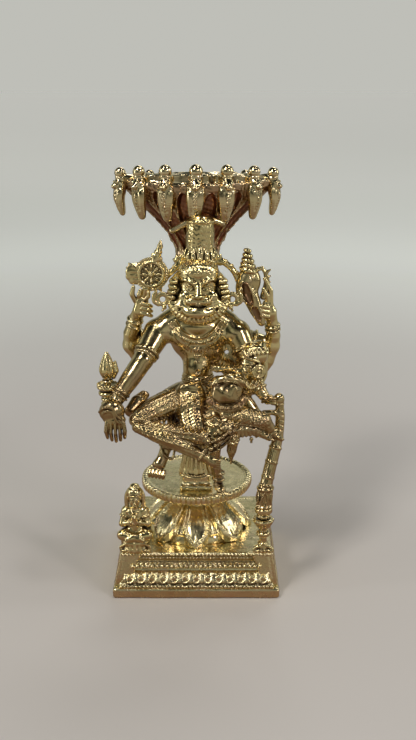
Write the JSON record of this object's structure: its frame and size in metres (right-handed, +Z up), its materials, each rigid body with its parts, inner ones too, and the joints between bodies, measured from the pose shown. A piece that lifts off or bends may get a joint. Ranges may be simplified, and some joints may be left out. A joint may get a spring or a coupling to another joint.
{
  "type": "temple figure",
  "caption": "Cast brass seated lion-headed deity with a consort under a serpent hood, on a lotus pedestal and stepped plinth.",
  "frame": {"origin": "centre of the plinth's flat underside", "axes": "+Z up, the figure faces -Y, +X is to the onlooker's right"},
  "size_m": [0.1087, 0.087, 0.25],
  "materials": {
    "figure_brass": "polished",
    "hood_brass": "polished",
    "plinth_brass": "polished"
  },
  "bodies": {
    "root": {"attendant_body": "figure_brass", "attendant_head": "figure_brass", "canopy": "hood_brass", "chakra": "figure_brass", "conch": "figure_brass", "consort_arm": "figure_brass", "consort_body": "figure_brass", "consort_head": "figure_brass", "consort_legs": "figure_brass", "crossed_foot": "figure_brass", "crown": "figure_brass", "earring_left": "figure_brass", "earring_right": "figure_brass", "front_left_arm": "figure_brass", "front_right_arm": "figure_brass", "head": "figure_brass", "hips": "figure_brass", "hood_stem": "hood_brass", "left_shin": "figure_brass", "left_thigh": "figure_brass", "lotus_bud": "figure_brass", "lotus_core": "plinth_brass", "lotus_petal_1": "figure_brass", "lotus_petal_2": "figure_brass", "lotus_petal_3": "figure_brass", "lotus_petal_4": "figure_brass", "lotus_petal_5": "figure_brass", "lotus_petal_6": "figure_brass", "lotus_petal_7": "figure_brass", "lotus_petal_8": "figure_brass", "lotus_socle": "plinth_brass", "mace_foot": "figure_brass", "mace_shaft": "figure_brass", "mace_stalk": "figure_brass", "mane": "figure_brass", "naga_head_1": "hood_brass", "naga_head_2": "hood_brass", "naga_head_3": "hood_brass", "naga_head_4": "hood_brass", "naga_head_5": "hood_brass", "naga_head_6": "hood_brass", "naga_head_7": "hood_brass", "plinth_body": "plinth_brass", "plinth_foot": "plinth_brass", "plinth_top": "plinth_brass", "plinth_wing_left": "plinth_brass", "plinth_wing_right": "plinth_brass", "rear_left_arm": "figure_brass", "rear_right_arm": "figure_brass", "right_shin": "figure_brass", "right_thigh": "figure_brass", "sash_tassel": "figure_brass", "seat_column": "figure_brass", "seat_disc": "figure_brass", "seat_drape": "figure_brass", "strut_left": "figure_brass", "strut_right": "figure_brass", "torso": "figure_brass"}
  },
  "joints": []
}
